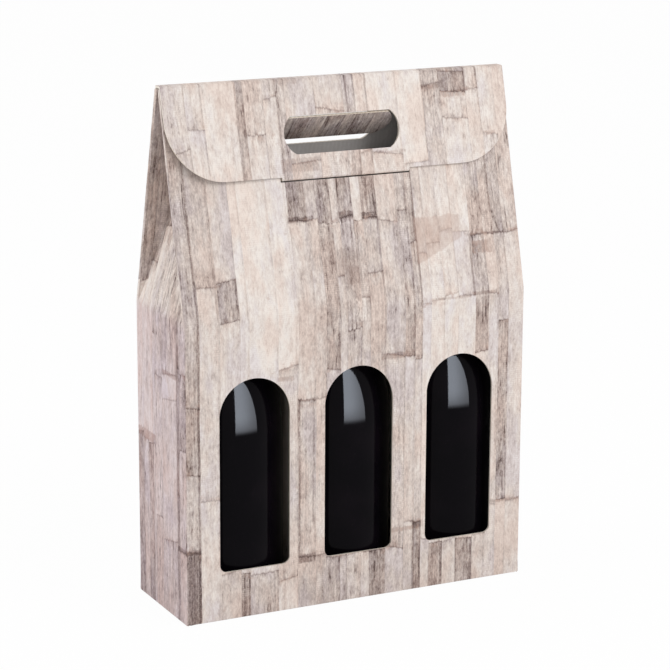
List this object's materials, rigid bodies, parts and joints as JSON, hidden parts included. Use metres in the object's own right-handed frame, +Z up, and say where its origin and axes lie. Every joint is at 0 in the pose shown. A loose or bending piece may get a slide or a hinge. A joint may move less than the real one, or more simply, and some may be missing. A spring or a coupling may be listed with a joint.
{
  "type": "bottle shipping box",
  "caption": "Gable-top cardboard carrier box with arched front windows, a tuck-in lid and a hand slot, holding dark glass bottles.",
  "frame": {"origin": "centre of the bottom face", "axes": "+X to the right seen from the front, +Y from the windows towards the back, +Z up"},
  "size_m": [0.255, 0.083, 0.357],
  "materials": {
    "printed_board": "matt print of pale weathered planks",
    "plain_board": "plain uncoated board",
    "bottle_glass": "glossy, nearly black",
    "capsule": "satin dark sleeve"
  },
  "bodies": {
    "carton": {"carton_body": "printed_board", "divider_insert": "plain_board", "bottle_left": "bottle_glass", "bottle_middle": "bottle_glass", "bottle_right": "bottle_glass", "capsule_left": "capsule", "capsule_middle": "capsule", "capsule_right": "capsule"},
    "lid": {"lid_flap": "printed_board"},
    "tongue": {"handle_tongue": "printed_board"}
  },
  "joints": [
    {"name": "lid_hinge", "type": "hinge", "parent": "carton", "child": "lid", "pos_m": [0, 0.00345, 0.35545], "axis": [-1, 0, 0], "range_deg": [0, 190]},
    {"name": "tongue_fold", "type": "hinge", "parent": "lid", "child": "tongue", "pos_m": [0, -0.00963, 0.33244], "axis": [-1, 0, 0], "range_deg": [0, 61]}
  ]
}
